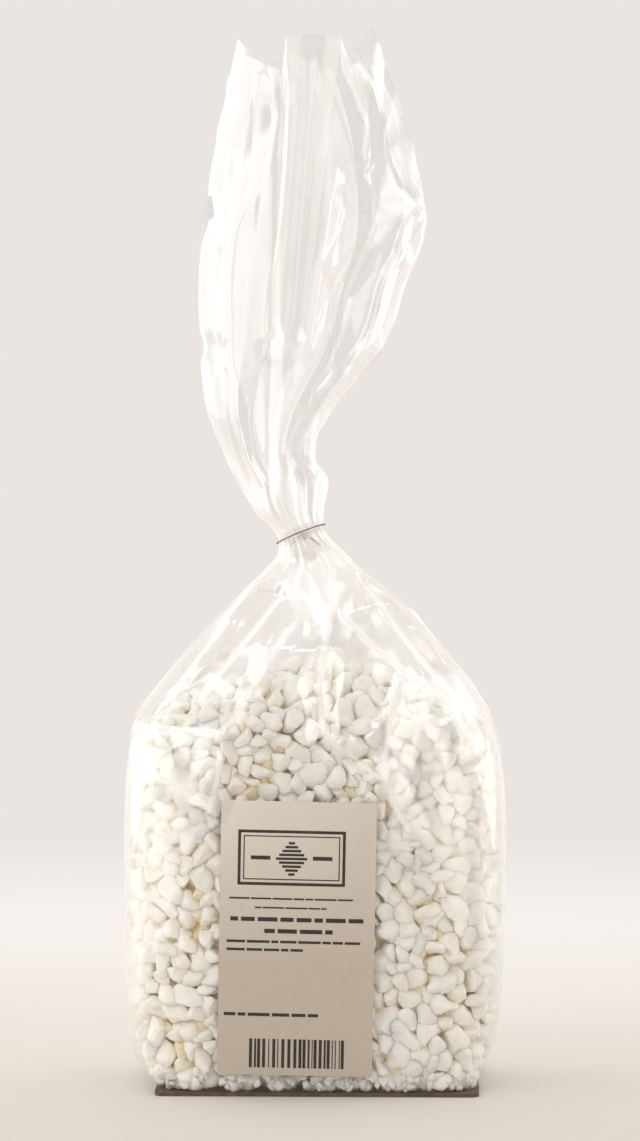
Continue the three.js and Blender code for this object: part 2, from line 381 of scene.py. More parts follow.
def ink_material():
    material, nodes, links, bsdf = new_material("label_ink")
    wear = noise_node(nodes, links, 1500, 3, 0.6)
    stops = [(0.35, (0.012, 0.01, 0.009)), (0.8, (0.05, 0.042, 0.035))]
    colour = colour_ramp(nodes, links, wear, stops)
    links.new(colour, bsdf.inputs["Base Color"])
    bsdf.inputs["Roughness"].default_value = 0.5
    return material


def strip_material():
    material, nodes, links, bsdf = new_material("tie_strip")
    streaks = noise_node(nodes, links, 500, 2, 0.5)
    stops = [(0.3, (0.72, 0.70, 0.66)), (0.7, (0.86, 0.85, 0.82))]
    colour = colour_ramp(nodes, links, streaks, stops)
    links.new(colour, bsdf.inputs["Base Color"])
    bsdf.inputs["Roughness"].default_value = 0.25
    bsdf.inputs["Alpha"].default_value = 0.16
    return material


def wire_material():
    material, nodes, links, bsdf = new_material("tie_wire")
    scuffs = noise_node(nodes, links, 1200, 2, 0.5)
    stops = [(0.3, (0.03, 0.026, 0.022)), (0.7, (0.09, 0.08, 0.07))]
    colour = colour_ramp(nodes, links, scuffs, stops)
    links.new(colour, bsdf.inputs["Base Color"])
    bsdf.inputs["Metallic"].default_value = 0.8
    bsdf.inputs["Roughness"].default_value = 0.4
    return material


# The film: how finely it is divided, then how wide a crease's whitened line and its rounding are

FRONT_COLUMNS_PER_DEGREE = 1.35
BACK_COLUMNS_PER_DEGREE = 0.75
BODY_ROW_STEP = 1.6
SHOULDER_START = 80.0
SHOULDER_ROW_STEP = 0.8
SLEEVE_ROWS = 88
LINE_WIDTH = 1.6
CREASE_ROUNDING = 1.4


def fold_columns():
    """The angle, fold cut and edge dip of each column of the film's vertices."""
    angles, cuts, dips = [], [], []
    for index, (ridge, valley, ridge_dip, valley_dip) in enumerate(FOLDS):
        after = FOLDS[(index + 1) % len(FOLDS)]
        next_ridge = after[0] + (360 if index == len(FOLDS) - 1 else 0)
        density = FRONT_COLUMNS_PER_DEGREE if ridge >= 180 else BACK_COLUMNS_PER_DEGREE
        flank = max(8, round((next_ridge - ridge) * density / 2))
        for step in range(2 * flank):
            share = step / flank
            down = min(share, 2 - share)
            edge = valley_dip + (1 - down) * ((ridge_dip if share < 1 else after[2]) - valley_dip)
            angles.append(math.radians(ridge + (next_ridge - ridge) * share / 2))
            cuts.append(valley * down**0.85)
            dips.append(edge)
    return np.array(angles), np.array(cuts), np.array(dips)


# Creases on the front of the shoulders: from (x, height) to (x, height), half width and lift. A wide
# one leaves a flat facet on each side of its ridge, or of its valley where the lift is negative.
SHOULDER_CREASES = [
    (-9, 143, -27, 112.6, 9.0, 1.9),
    (-27, 112.6, -31, 90, 8.0, 1.2),
    (-56, 113, -28, 112.5, 5.0, 1.5),
    (-51, 101, -31, 89, 6.0, 1.2),
    (-20, 158, -50, 117, 5.0, 1.4),
    (-14, 152, -38, 122, 5.0, -1.2),
    (4, 161, 4.2, 151, 5.0, 1.4),
    (4.2, 151, 0.7, 126.5, 6.0, 1.6),
    (0.7, 126.5, 2.0, 111.7, 4.0, 1.2),
    (2.0, 111.7, 18.6, 98.6, 4.0, 1.0),
    (6.4, 148.4, 24, 131, 8.0, 1.8),
    (24, 131, 18.6, 99, 9.0, 1.6),
    (18.6, 99, 27.4, 83, 6.0, 1.0),
    (24, 131, 42, 121, 6.0, 1.6),
    (42, 121, 46.2, 108, 5.0, 1.4),
    (16, 156, 47, 118, 5.0, -1.6),
    (52, 108, 44, 104, 3.0, 1.0),
]

# The same on the front of the open sleeve
SLEEVE_CREASES = [
    (-14.2, 315, -35.1, 274.6, 7.0, -1.8),
    (-35.1, 274.6, -33.7, 233, 6.0, -1.6),
    (-33.7, 233, -19.7, 182, 5.0, -1.5),
    (-15.2, 326, -16.0, 234, 3.0, -1.0),
    (-16.0, 234, -15.2, 180, 4.0, -1.2),
    (-9.4, 322, -8.8, 234, 3.0, 0.4),
    (-8.8, 234, -12, 182, 4.0, 0.9),
    (-1.6, 318, -6.9, 234, 1.6, 0.25),
    (7.5, 325, 4.8, 294, 3.0, 0.5),
    (4.8, 294, -4.2, 234, 4.0, 0.6),
    (10.6, 316, 9.3, 279, 3.0, -0.7),
    (9.3, 279, 2.9, 234, 4.0, -1.4),
    (15.2, 328, 10.9, 293.6, 5.0, 2.0),
    (28.0, 306, 20, 290, 5.0, -1.8),
    (24.8, 283, 28.0, 306, 4.0, 1.6),
    (24.8, 283, 32, 276, 4.0, 1.5),
    (24.8, 283, 7.4, 258, 5.0, 2.2),
    (24.8, 283, 23, 264, 5.0, 1.6),
    (23, 264, 15, 234, 5.0, 1.8),
    (15, 275, 6.2, 241.8, 5.0, -2.2),
    (6.2, 241.8, 3, 225, 4.0, 1.6),
    (15, 234, 2.4, 215, 4.0, 1.6),
    (3, 225, -4, 215, 3.0, 1.4),
    (-4, 215, -3.5, 192, 3.0, 1.4),
]


def crease_distance(x, z, crease):
    """The distance to a crease's line from places seen flat from the front."""
    x0, z0, x1, z1 = crease[:4]
    along_x = x1 - x0
    along_z = z1 - z0
    length = math.hypot(along_x, along_z)
    share = ((x - x0) * along_x + (z - z0) * along_z) / length**2
    side = np.abs((x - x0) * along_z - (z - z0) * along_x) / length
    past = np.maximum(np.maximum(-share, share - 1), 0) * length
    return np.hypot(side, past)


def crease_lift(x, z, creases):
    """How far creases lift the film."""
    lift = np.zeros_like(x)
    for crease in creases:
        half_width, height = crease[4:]
        aside = np.hypot(crease_distance(x, z, crease), CREASE_ROUNDING) - CREASE_ROUNDING
        lift += height * np.maximum(1 - aside / half_width, 0)
    return lift


def crease_line(x, z, creases):
    """1 on the line of a crease, which folding has whitened, and 0 a little beside it."""
    line = np.zeros_like(x)
    for crease in creases:
        line = np.maximum(line, 1 - smooth_step(crease_distance(x, z, crease), 0, LINE_WIDTH))
    return line


def random_creases(generator, count, low, high, reach):
    """Creases in all directions between two heights."""
    creases = []
    for _ in range(count):
        x = generator.uniform(-reach, reach)
        z = generator.uniform(low, high)
        turn = generator.uniform(0, math.pi)
        length = generator.uniform(8, 26)
        half_width = generator.uniform(1.6, 4.0)
        lift = generator.uniform(-0.6, 0.6)
        end = (x + length * math.cos(turn), z + length * math.sin(turn))
        creases.append((x, z, *end, half_width, lift))
    return creases


def facet_lift(generator, points, outward, count, low, high, reach, jitter):
    """How far flat facets lie off a smooth surface. Each facet is the surface's own plane at a random
    place, a little tilted, and the film takes the innermost plane, so the facets meet in sharp folds."""
    across = np.roll(points, -1, axis=1) - np.roll(points, 1, axis=1)
    along = np.gradient(points, axis=0)
    normals = np.cross(across, along)
    normals /= np.linalg.norm(normals, axis=-1)[..., None]
    heights = points[:, 0, 2]
    rows = np.searchsorted(heights, generator.uniform(low, high, count))
    columns = generator.integers(points.shape[1], size=count)
    lift = np.full(points.shape[:2], np.inf)
    for row, column in zip(rows, columns):
        place = points[row, column] + normals[row, column] * generator.uniform(-jitter, jitter)
        normal = normals[row, column] + generator.normal(0, 0.05, 3)
        toward = outward @ normal
        gap = ((place - points) @ normal) / np.maximum(toward, 0.3)
        near = np.linalg.norm(points - place, axis=-1) < reach
        lift = np.where(near & (toward > 0.3), np.minimum(lift, gap), lift)
    return np.clip(np.where(np.isfinite(lift), lift, 0), -1.2, 1.5)


# Where the side gussets' film lies behind the front film: the x of its edge at some heights
GUSSET_EDGE_LEFT = [(5, -57), (40, -50), (70, -42), (89, -31), (101, -36), (113, -28), (114, -62)]
GUSSET_EDGE_RIGHT = [(5, 54), (40, 48), (65, 38), (83, 27.4), (98.6, 18.6), (127, 25), (131, 52)]

# The right edge of the sleeve's left panel, where the film is double: its x at some heights
PANEL_EDGE = [(180, -15.2), (234, -15.8), (310, -13.5), (326, -12)]

# Strips of the sleeve's middle panel, whitened where they are pleated and greyer where the film is
# double: the height and both edges at the strip's top, the same at its foot, then how much of each
PANEL_STRIPS = [
    (328, -10.8, -4.6, 236, -14.6, -12.0, 1.0, 0.0),
    (328, -4.2, 2.3, 309, -3.0, 1.0, 0.0, 0.9),
    (306, -7.4, -5.6, 236, -11.8, -10.5, 0.0, 1.0),
    (318, -1.9, -0.3, 236, -8.4, -7.1, 1.0, 0.0),
    (328, 2.6, 7.8, 236, -5.8, -3.6, 1.0, 0.0),
    (316, 10.4, 14.2, 250, 2.0, 4.2, 0.4, 0.0),
]


def panel_strips(points, which):
    """How whitened (0) or how double (1) the film is in the strips of the sleeve's front."""
    x, y, height = np.moveaxis(points, -1, 0)
    cover = np.zeros_like(x)
    for top, top_left, top_right, foot, foot_left, foot_right, *strengths in PANEL_STRIPS:
        share = (height - foot) / (top - foot)
        left = foot_left + (top_left - foot_left) * share
        right = foot_right + (top_right - foot_right) * share
        across = smooth_step(x - left, -0.6, 0.6) * smooth_step(right - x, -0.6, 0.6)
        along = smooth_step(height, foot - 6, foot + 6) * smooth_step(top - height, -2, 2)
        cover += strengths[which] * across * along
    return cover * (y < 0)


def gusset_cover(points):
    """1 where a side gusset lies behind the film."""
    x, y, height = np.moveaxis(points, -1, 0)
    left = np.interp(height, *zip(*GUSSET_EDGE_LEFT))
    right = np.interp(height, *zip(*GUSSET_EDGE_RIGHT))
    front = smooth_step(left - x, -1, 1.5) + smooth_step(x - right, -1, 1.5)
    cover = np.where(y < 0, front, smooth_step(np.abs(x), 34, 37))
    return cover * (1 - smooth_step(height, 128, 140))


def film_layers(points):
    """0 where the film is single, up to 1 where a gusset, a fold or a gather lies behind it."""
    x, y, height = np.moveaxis(points, -1, 0)
    shoulders = 0.35 * smooth_step(height, 108, 125) * (1 - smooth_step(height, 150, 165))
    neck = smooth_step(height, 150, 165) * (1 - smooth_step(height, 180, 200))
    panel_edge = np.interp(height, *zip(*PANEL_EDGE))
    panel = smooth_step(panel_edge - x, -0.5, 1) * smooth_step(height, 195, 225) * (y < 0)
    patch = smooth_step(1 - np.hypot((x + 2) / 11, (height - 155) / 13), 0, 0.8) * (y < 0)
    window = smooth_step(1 - np.hypot((x + 5) / 9, (height - 170) / 12), 0, 0.7) * (y < 0)
    sleeve = 0.16 * panel + panel_strips(points, 1)
    gussets = gusset_cover(points) * (0.56 + 0.2 * smooth_step(height, 50, 105))
    return np.clip(gussets + shoulders + neck + sleeve + patch - window, 0, 1)


def film_heights():
    """The height of each row of the film's vertices."""
    body = np.arange(CARD_TOP, SHOULDER_START, BODY_ROW_STEP)
    shoulders = np.arange(SHOULDER_START, SLEEVE_START, SHOULDER_ROW_STEP)
    sleeve = np.linspace(SLEEVE_START, MOUTH_HEIGHT, SLEEVE_ROWS)
    return np.concatenate([body, shoulders, sleeve])


def body_share(height):
    return 1 - smooth_step(height, 168, 176)


def sleeve_share(height):
    return smooth_step(height, 178, 190)


def gathers(angle, height):
    """How gathered the film is round the tie, from 0 to 1, and how far its small pleats lift it."""
    turns = angle / (2 * math.pi)
    gathered = smooth_step(height, 142, 167) * (1 - smooth_step(height, 174, 196))
    gathered = gathered * (0.6 + 0.4 * np.sin(2 * math.pi * (2 * turns + 0.25)))
    twist = (height - TIE_HEIGHT) / 400
    pleats = tent_wave(17 * turns + twist) + 0.6 * tent_wave(29 * turns - 2 * twist + 0.3)
    return gathered, gathered * 0.8 * (pleats - 0.8)


def film_lift(generator, points):
    """How far facets, creases and the nibs behind it lift the film off its smooth surface."""
    x, y, height = np.moveaxis(points, -1, 0)
    outward = points - np.stack([centre_at(height), 0 * height, height], axis=-1)
    outward /= np.linalg.norm(outward, axis=-1)[..., None]
    shoulders = smooth_step(height, 96, 112) * (1 - smooth_step(height, 160, 168))
    lift = shoulders * facet_lift(generator, points, outward, 90, 100, 165, 30, 0.4)

    front = crease_lift(x, height, SHOULDER_CREASES + random_creases(generator, 6, 60, 160, 50))
    back = crease_lift(x, height, random_creases(generator, 30, 70, 168, 48))
    sides = crease_lift(2 * y, height, random_creases(generator, 24, 10, 150, 50))
    flank = smooth_step(np.abs(x) / half_width_at(height), 0.8, 0.95)
    faces = np.where(y < 0, front, back)
    lift += body_share(height) * (faces * (1 - flank) + sides * flank)

    front = crease_lift(x, height, SLEEVE_CREASES)
    back = crease_lift(x, height, random_creases(generator, 6, 185, 325, 34))
    lift += sleeve_share(height) * np.where(y < 0, front, back)

    press = 0.12 * np.sin(x / 1.3 + 0.7 * np.sin(height / 5)) * np.sin(height / 1.5 + np.sin(x / 4))
    return lift + press * (1 - smooth_step(height, 95, 118)) * (1 - 0.7 * gusset_cover(points))


def whitened_lines(points, gathered):
    """How far the front's creases have whitened the film. On the sleeve only the sharp ones do."""
    x, y, height = np.moveaxis(points, -1, 0)
    shoulders = crease_line(x, height, SHOULDER_CREASES) * body_share(height) * (1 - gathered)
    sharp = [crease for crease in SLEEVE_CREASES if abs(crease[5]) > 1]
    sleeve = 0.55 * crease_line(x, height, sharp) * sleeve_share(height)
    return np.where(y < 0, shoulders + sleeve, 0)


def film_piece(material):
    angles, cuts, dips = fold_columns()
    height, angle = np.meshgrid(film_heights(), angles, indexing="ij")
    cut = np.broadcast_to(cuts, height.shape)
    plain = bag_points(angle, cut, height)
    gathered, pleats = gathers(angle, height)
    lift = pleats + film_lift(np.random.default_rng(SEED), plain)
    points = bag_points(angle, cut, height, lift)
    up_sleeve = np.clip((height - SLEEVE_START) / (MOUTH_HEIGHT - SLEEVE_START), 0, 1)
    points[..., 2] -= dips * up_sleeve

    faces = grid_faces(*height.shape, closed=True).tolist()
    piece = make_mesh("film", points.reshape(-1, 3), faces, material)
    piece.data.set_sharp_from_angle(angle=math.radians(28))
    set_values(piece, "crease", crease_strength(points))
    set_values(piece, "layers", film_layers(points))
    line = whitened_lines(plain, gathered) + panel_strips(points, 0)
    set_values(piece, "line", np.minimum(line, 1))
    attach(piece, "root")
    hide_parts("bag")


def crease_strength(points):
    """How sharply the film turns at each vertex: 0 where it is flat, 1 on a tight crease."""
    across = np.roll(points, -1, axis=1) - points
    across /= np.linalg.norm(across, axis=-1)[..., None]
    along = points[1:] - points[:-1]
    along /= np.linalg.norm(along, axis=-1)[..., None]
    turn = np.linalg.norm(across - np.roll(across, 1, axis=1), axis=-1)
    turn[1:-1] += np.linalg.norm(along[1:] - along[:-1], axis=-1)
    spread = (turn + np.roll(turn, 1, axis=1) + np.roll(turn, -1, axis=1)) / 3
    return np.clip((spread - 0.1) / 0.6, 0, 1)


# The sugar: how the heap lies, how many nibs each layer has, and how they look

NIB_GAP = 0.25
HEAP_EDGE = 113.0
HEAP_PEAK = 133.5
HEAP_WIDTH = 119.0
HEAP_DEPTH = 64.0
NIB_COUNT = 1180
INNER_COUNT = 1000
CRUMB_COUNT = 320
INNER_LAYER = 5.2
CORE_DEPTH = 8.5
# How much painted shade lowers the nibs' colour value per millimetre of depth in the heap
SHADE_PER_DEPTH = 0.065
NIB_KINDS = 32
CRISP_ANGLE = 30


def heap_top(x, y):
    """The height of the sugar's top over a place in the bag."""
    across = np.abs(x / 56) ** 2.6 + np.abs(y / 30) ** 2.6
    rough = 1.6 * np.sin(x / 9.0 + 1.3) * np.cos(y / 7.0 + x / 21.0)
    return HEAP_EDGE + (HEAP_PEAK - HEAP_EDGE) * np.maximum(1 - across**0.7, 0) + rough


def wall_fraction(x, y, height):
    """1 on the film, less inside it."""
    n = squareness_at(height)
    across = np.abs((x - centre_at(height)) / half_width_at(height))
    deep = np.abs(y / half_depth_at(height))
    angles, cuts, _ = fold_columns()
    cut = np.interp(np.arctan2(deep * np.sign(y), across * np.sign(x)), *around(angles, cuts))
    return (across**n + deep**n) ** (1 / n) / (1 - fold_depth_at(height) * cut)


def around(angles, values):
    """The fold columns' values over a whole turn from -180 to 180 degrees."""
    turn = 2 * math.pi
    turned = np.where(angles > math.pi, angles - turn, angles)
    order = np.argsort(turned)
    angles, values = turned[order], values[order]
    angles = np.concatenate([[angles[-1] - turn], angles, [angles[0] + turn]])
    return angles, np.concatenate([values[-1:], values, values[:1]])


def fit_nib(vertices, place):
    """Where a nib has to lie for its own surface to stay inside the film and above the card."""
    for _ in range(3):
        x, y, height = (vertices + place).T
        height = np.maximum(height, CARD_TOP)
        over = wall_fraction(x, y, height) - 1
        worst = np.argmax(over)
        level = height[worst]
        n = squareness_at(level)
        half_sizes = np.array([half_width_at(level), half_depth_at(level)])
        flat = np.array([x[worst] - centre_at(level), y[worst]]) / half_sizes
        slope = np.sign(flat) * np.abs(flat) ** (n - 1) / half_sizes
        slope /= (np.abs(flat) ** n).sum() ** ((n - 1) / n)
        steepness = np.linalg.norm(slope)
        past = over[worst] / steepness + NIB_GAP
        if past > 0:
            place = place - np.append(slope / steepness, 0) * past
        low = CARD_TOP + 0.1 - (vertices[:, 2] + place[2]).min()
        if low > 0:
            place = place + np.array([0, 0, low])
    return place


def depth_inside(points):
    """How far inside the film and below the heap's top places are."""
    x, y, height = points.T
    reach = np.hypot(x - centre_at(height), y)
    side = reach / np.maximum(wall_fraction(x, y, height), 1e-3) - reach
    return np.maximum(np.minimum(side, heap_top(x, y) - height), 0)


def keep_inside(points, radii, depth):
    """Moves points onto the layer that lies at a depth below the sugar's own surface."""
    height = points[:, 2]
    centre = np.stack([centre_at(height), 0 * height], axis=1)
    flat = points[:, :2] - centre
    reach = np.hypot(flat[:, 0], flat[:, 1]) + 1e-6
    wall = reach / np.maximum(wall_fraction(*points.T), 1e-3)
    limit = np.maximum(wall - (radii + depth + NIB_GAP) * 1.04, 1)
    top = heap_top(points[:, 0], points[:, 1]) - radii - depth
    side_gap = limit - reach
    top_gap = top - height
    on_side = side_gap < top_gap
    scale = np.where(on_side | (side_gap < 0), limit / reach, 1)
    points[:, :2] = centre + flat * scale[:, None]
    points[:, 2] = np.where(on_side, np.minimum(height, top), top)
    points[:, 2] = np.maximum(points[:, 2], CARD_TOP + 0.9 * radii)
    return points


def settle(points, radii, depth, rounds, closeness):
    """Pushes nibs apart until they lie side by side in their layer."""
    reach = 2 * radii.max()
    for _ in range(rounds):
        tree = KDTree(len(points))
        for index, point in enumerate(points):
            tree.insert(point, index)
        tree.balance()
        push = np.zeros_like(points)
        for index, point in enumerate(points):
            for other, other_index, distance in tree.find_range(point, reach):
                wanted = closeness * (radii[index] + radii[other_index])
                if other_index != index and distance < wanted:
                    share = 0.4 * (wanted - distance) / (distance + 0.01)
                    push[index] += (point - np.array(other)) * share
        points = keep_inside(points + np.clip(push, -2, 2), radii, depth)
    return points


def scatter_layer(generator, count, radii, depth):
    """Random places for one layer, spread over the sides and the top by their areas."""
    side_area = 2 * (HEAP_WIDTH + HEAP_DEPTH) * 0.92 * (HEAP_EDGE - CARD_TOP)
    top_area = HEAP_WIDTH * HEAP_DEPTH * 0.95 * 1.2
    on_side = generator.random(count) < side_area / (side_area + top_area)
    width = HEAP_WIDTH / 2
    deep = HEAP_DEPTH / 2
    along = generator.uniform(-1, 1, count)
    end = generator.random(count) < deep / (width + deep)
    sign = np.where(generator.random(count) < 0.5, -1, 1)
    x_on_top = generator.uniform(-1, 1, count) * width
    x = np.where(on_side, np.where(end, sign, along) * width, x_on_top)
    y_on_top = generator.uniform(-1, 1, count) * deep
    y = np.where(on_side, np.where(end, along, sign) * deep, y_on_top)
    height = generator.uniform(CARD_TOP + 2, HEAP_EDGE, count)
    z = np.where(on_side, height, heap_top(x, y))
    return keep_inside(np.stack([x, y, z], axis=1), radii, depth)


def nib_shape(generator, directions):
    """A chip of sugar: the soft minimum of a few cutting planes, dented, about 1 in radius."""
    planes = generator.normal(size=(9, 3))
    planes /= np.linalg.norm(planes, axis=1)[:, None]
    distances = generator.uniform(0.55, 1.0, 9)
    facing = np.maximum(directions @ planes.T, 0) / distances
    sharpness = 26
    longest = 1.3
    nearness = np.maximum((facing**sharpness).sum(axis=1), longest**-sharpness)
    radius = nearness ** (-1 / sharpness)
    dents = generator.normal(size=(3, 3))
    for dent in dents / np.linalg.norm(dents, axis=1)[:, None]:
        radius = radius * (1 - 0.2 * smooth_step(directions @ dent, 0.45, 0.95))
    for waves in (2.0, 4.5):
        phase = generator.uniform(0, 2 * math.pi, 3)
        radius = radius * (1 + 0.16 / waves * np.sin(waves * directions + phase).sum(axis=1))
    shape = directions * radius[:, None] * generator.uniform([0.97, 0.82, 0.75], [1.12, 1.0, 0.95])
    return shape / np.linalg.norm(shape, axis=1).mean()


def icosphere(subdivisions):
    """The vertices and faces of a unit sphere of near-equal triangles."""
    sphere = bmesh.new()
    bmesh.ops.create_icosphere(sphere, subdivisions=subdivisions, radius=1)
    vertices = np.array([vertex.co[:] for vertex in sphere.verts])
    faces = np.array([[vertex.index for vertex in face.verts] for face in sphere.faces])
    sphere.free()
    return vertices, faces


def random_turns(generator, count):
    """Random rotation matrices."""
    quaternions = generator.normal(size=(count, 4))
    w, x, y, z = (quaternions / np.linalg.norm(quaternions, axis=1)[:, None]).T
    rows = [
        [1 - 2 * (y * y + z * z), 2 * (x * y - z * w), 2 * (x * z + y * w)],
        [2 * (x * y + z * w), 1 - 2 * (x * x + z * z), 2 * (y * z - x * w)],
        [2 * (x * z - y * w), 2 * (y * z + x * w), 1 - 2 * (x * x + y * y)],
    ]
    return np.moveaxis(np.array(rows), 2, 0)


def nib_pile(name, generator, points, radii, tones_and_shade, subdivisions, material):
    """All the nibs of one size as one mesh."""
    directions, faces = icosphere(subdivisions)
    shapes = [nib_shape(generator, directions) for _ in range(NIB_KINDS)]
    chosen = generator.integers(len(shapes), size=len(points))
    turns = random_turns(generator, len(points))
    nibs = []
    for kind, turn, radius, point in zip(chosen, turns, radii, points):
        nib = shapes[kind] @ turn.T * radius
        nibs.append(nib + fit_nib(nib, point))
    vertices = np.concatenate(nibs)
    offsets = (np.arange(len(points)) * len(directions))[:, None, None]
    all_faces = (faces[None] + offsets).reshape(-1, 3).tolist()
    piece = make_mesh(name, vertices, all_faces, material)
    piece.data.set_sharp_from_angle(angle=math.radians(CRISP_ANGLE))
    # Each nib gets a random value in its range, then painted shade lowers it where the nib lies deep in the
    # heap, so the gaps look warmer and darker
    nib_tones_and_shade = np.repeat(generator.uniform(*tones_and_shade, len(points)), len(directions))
    shaded_depth = np.maximum(depth_inside(vertices) - 1.5, 0)
    set_values(piece, "tone_and_shade", np.maximum(nib_tones_and_shade - SHADE_PER_DEPTH * shaded_depth, 0))
    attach(piece, "root")


def sugar_pieces(material):
    generator = np.random.default_rng(SEED + 1)
    rounds = 45
    radii = np.clip(generator.normal(3.3, 0.5, NIB_COUNT), 2.2, 4.2)
    depth = generator.uniform(0, 2.8, NIB_COUNT)
    outer = scatter_layer(generator, NIB_COUNT, radii, depth)
    outer = settle(outer, radii, depth, rounds, 0.97)
    coarse = radii > 3.5
    fine = radii < 3.0
    for name, chosen in (("coarse", coarse), ("medium", ~coarse & ~fine), ("fine", fine)):
        # Nibs that lie deeper get a lower, warmer range: painted shade
        tones_and_shade = (0.8 - depth[chosen] / 8, 1 - depth[chosen] / 8)
        nib_pile(f"nibs_{name}", generator, outer[chosen], radii[chosen], tones_and_shade, 3, material)
    radii = np.clip(generator.normal(3.1, 0.4, INNER_COUNT), 2.4, 3.8)
    depth = np.full(INNER_COUNT, INNER_LAYER)
    inner = scatter_layer(generator, INNER_COUNT, radii, depth)
    inner = settle(inner, radii, depth, rounds // 3, 0.95)
    # The inner layer takes the ramp's dark, warm end: painted shade in the gaps between the outer nibs
    nib_pile("nibs_inner", generator, inner, radii, (0.0, 0.4), 2, material)
    radii = generator.uniform(1.0, 2.2, CRUMB_COUNT)
    crumbs = crumb_places(generator, radii)
    nib_pile("nibs_crumbs", generator, crumbs, radii, (0.7, 1), 2, material)
    core_piece(material)


def crumb_places(generator, radii):
    """Crumbs that have sifted down to the card, along the film all round."""
    angle = generator.uniform(0, 2 * math.pi, len(radii))
    height = CARD_TOP + 0.8 * radii + generator.uniform(0, 2.6, len(radii)) ** 1.4
    inward = radii + generator.uniform(0, 2, len(radii)) ** 1.5
    return bag_points(angle, 0, height, -inward)


def core_piece(material):
    """What the gaps between the nibs end on, coloured with the ramp's darkest, warmest end as painted shade.
    """
    angles = np.linspace(0, 2 * math.pi, 72, endpoint=False)
    top = HEAP_EDGE - 4
    rings = []
    for height in np.linspace(CARD_TOP + 1, top, 30):
        rings.append(bag_points(angles, 0, np.full_like(angles, height), -CORE_DEPTH))
    edge = rings[-1]
    for share in np.linspace(0.85, 0.08, 9):
        ring = edge.copy()
        ring[:, :2] = edge[:, :2] * share
        ring[:, 2] = np.maximum(heap_top(ring[:, 0], ring[:, 1]) - 7, top)
        rings.append(ring)
    rows, columns = len(rings), len(angles)
    faces = grid_faces(rows, columns, closed=True).tolist()
    faces.append(list(range(columns))[::-1])
    faces.append(list(range((rows - 1) * columns, rows * columns)))
    piece = make_mesh("nibs_core", np.concatenate(rings), faces, material, smooth=False)
    # Painted shade: the core takes the lowest colour value
    set_values(piece, "tone_and_shade", np.zeros(rows * columns))
    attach(piece, "root")


# The label

LABEL = {"width": 47.7, "height": 84.7, "centre_x": -6.0, "centre_height": 49.2, "tilt": -1.1}
LABEL_GAP = 0.3
LABEL_RIPPLE = 0.12
LABEL_CURL = 0.3
PAPER_THICKNESS = 0.25
INK_THICKNESS = 0.03
BAR_MODULE = 0.31


def on_label(across, up, out):
    """Points on the label. across and up run from its middle."""
    tilt = math.radians(LABEL["tilt"])
    x = LABEL["centre_x"] + across * math.cos(tilt) - up * math.sin(tilt)
    z = LABEL["centre_height"] + across * math.sin(tilt) + up * math.cos(tilt)
    ripple = LABEL_RIPPLE * (1 + np.sin(across / 5.5 + up / 17) * np.sin(up / 7 + 0.6))
    curl = LABEL_CURL * smooth_step(across, LABEL["width"] / 2 - 4, LABEL["width"] / 2) ** 2
    return np.stack([x, front_at(x, z) - out - LABEL_GAP - ripple - curl, z], axis=-1)


def label_piece(material):
    columns, rows = 41, 71
    across = np.linspace(-0.5, 0.5, columns) * LABEL["width"]
    up = np.linspace(-0.5, 0.5, rows) * LABEL["height"]
    u, v = np.meshgrid(across, up)
    front = on_label(u, v, PAPER_THICKNESS).reshape(-1, 3)
    back = on_label(u, v, 0).reshape(-1, 3)
    faces = closed_sheet_faces(rows, columns).tolist()
    piece = make_mesh("label_sheet", np.concatenate([front, back]), faces, material)
    piece.data.set_sharp_from_angle(angle=math.radians(50))
    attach(piece, "root")
    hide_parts("label")


def print_marks():
    """Where the label is inked, from its middle: left, right, low, high. Lines of text are bars."""
    generator = np.random.default_rng(SEED + 2)
    marks = []

    def bar(left, right, low, high):
        marks.append((left, right, low, high))

    def frame_box(left, right, low, high, line):
        bar(left, right, high - line, high)
        bar(left, right, low, low + line)
        bar(left, left + line, low + line, high - line)
        bar(right - line, right, low + line, high - line)

    def text_line(left, right, middle, height):
        x = left
        while x < right - 1:
            word = generator.uniform(2.0, 7.0)
            end = min(x + word, right)
            bar(x, end, middle - height / 2, middle + height / 2)
            x = end + height * 0.7

    frame_box(-18.5, 14.5, 16.5, 33.5, 0.9)
    frame_box(-16.8, 12.8, 18.2, 31.8, 0.35)
    for step in range(9):
        half = 0.4 + 4.4 * (1 - abs(step - 4) / 4.6)
        low = 19.6 + step * 1.2
        bar(-2 - half, -2 + half, low, low + 0.75)
    bar(-14.5, -8.5, 24.4, 25.6)
    bar(4.5, 10.5, 24.4, 25.6)
    text_line(-21, 17, 12.4, 0.55)
    text_line(-13, 9, 9.6, 0.5)
    text_line(-20.5, 20.5, 6.0, 1.3)
    text_line(-10, 11, 2.4, 1.3)
    text_line(-21.5, 21, -0.9, 0.8)
    text_line(-21.5, 2, -3.4, 0.8)
    text_line(-22, 7, -23.5, 1.0)
    x = -14.0
    while x < 14.6:
        width = BAR_MODULE * generator.integers(1, 4)
        bar(x, x + width, -40.0, -31.0)
        x += width + BAR_MODULE * generator.integers(1, 4)
    return marks


def print_piece(material):
    """The ink: a thin layer that follows the paper and reaches a little into it."""
    vertices, faces = [], []
    for left, right, low, high in print_marks():
        columns = int((right - left) / 1.5) + 2
        rows = int((high - low) / 1.5) + 2
        across, up = np.meshgrid(np.linspace(left, right, columns), np.linspace(low, high, rows))
        start = len(vertices)
        for out in (PAPER_THICKNESS + INK_THICKNESS, PAPER_THICKNESS - INK_THICKNESS):
            vertices.extend(on_label(across, up, out).reshape(-1, 3).tolist())
        faces.extend((closed_sheet_faces(rows, columns) + start).tolist())
    piece = make_mesh("label_print", vertices, faces, material, smooth=False)
    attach(piece, "root")


# The tie

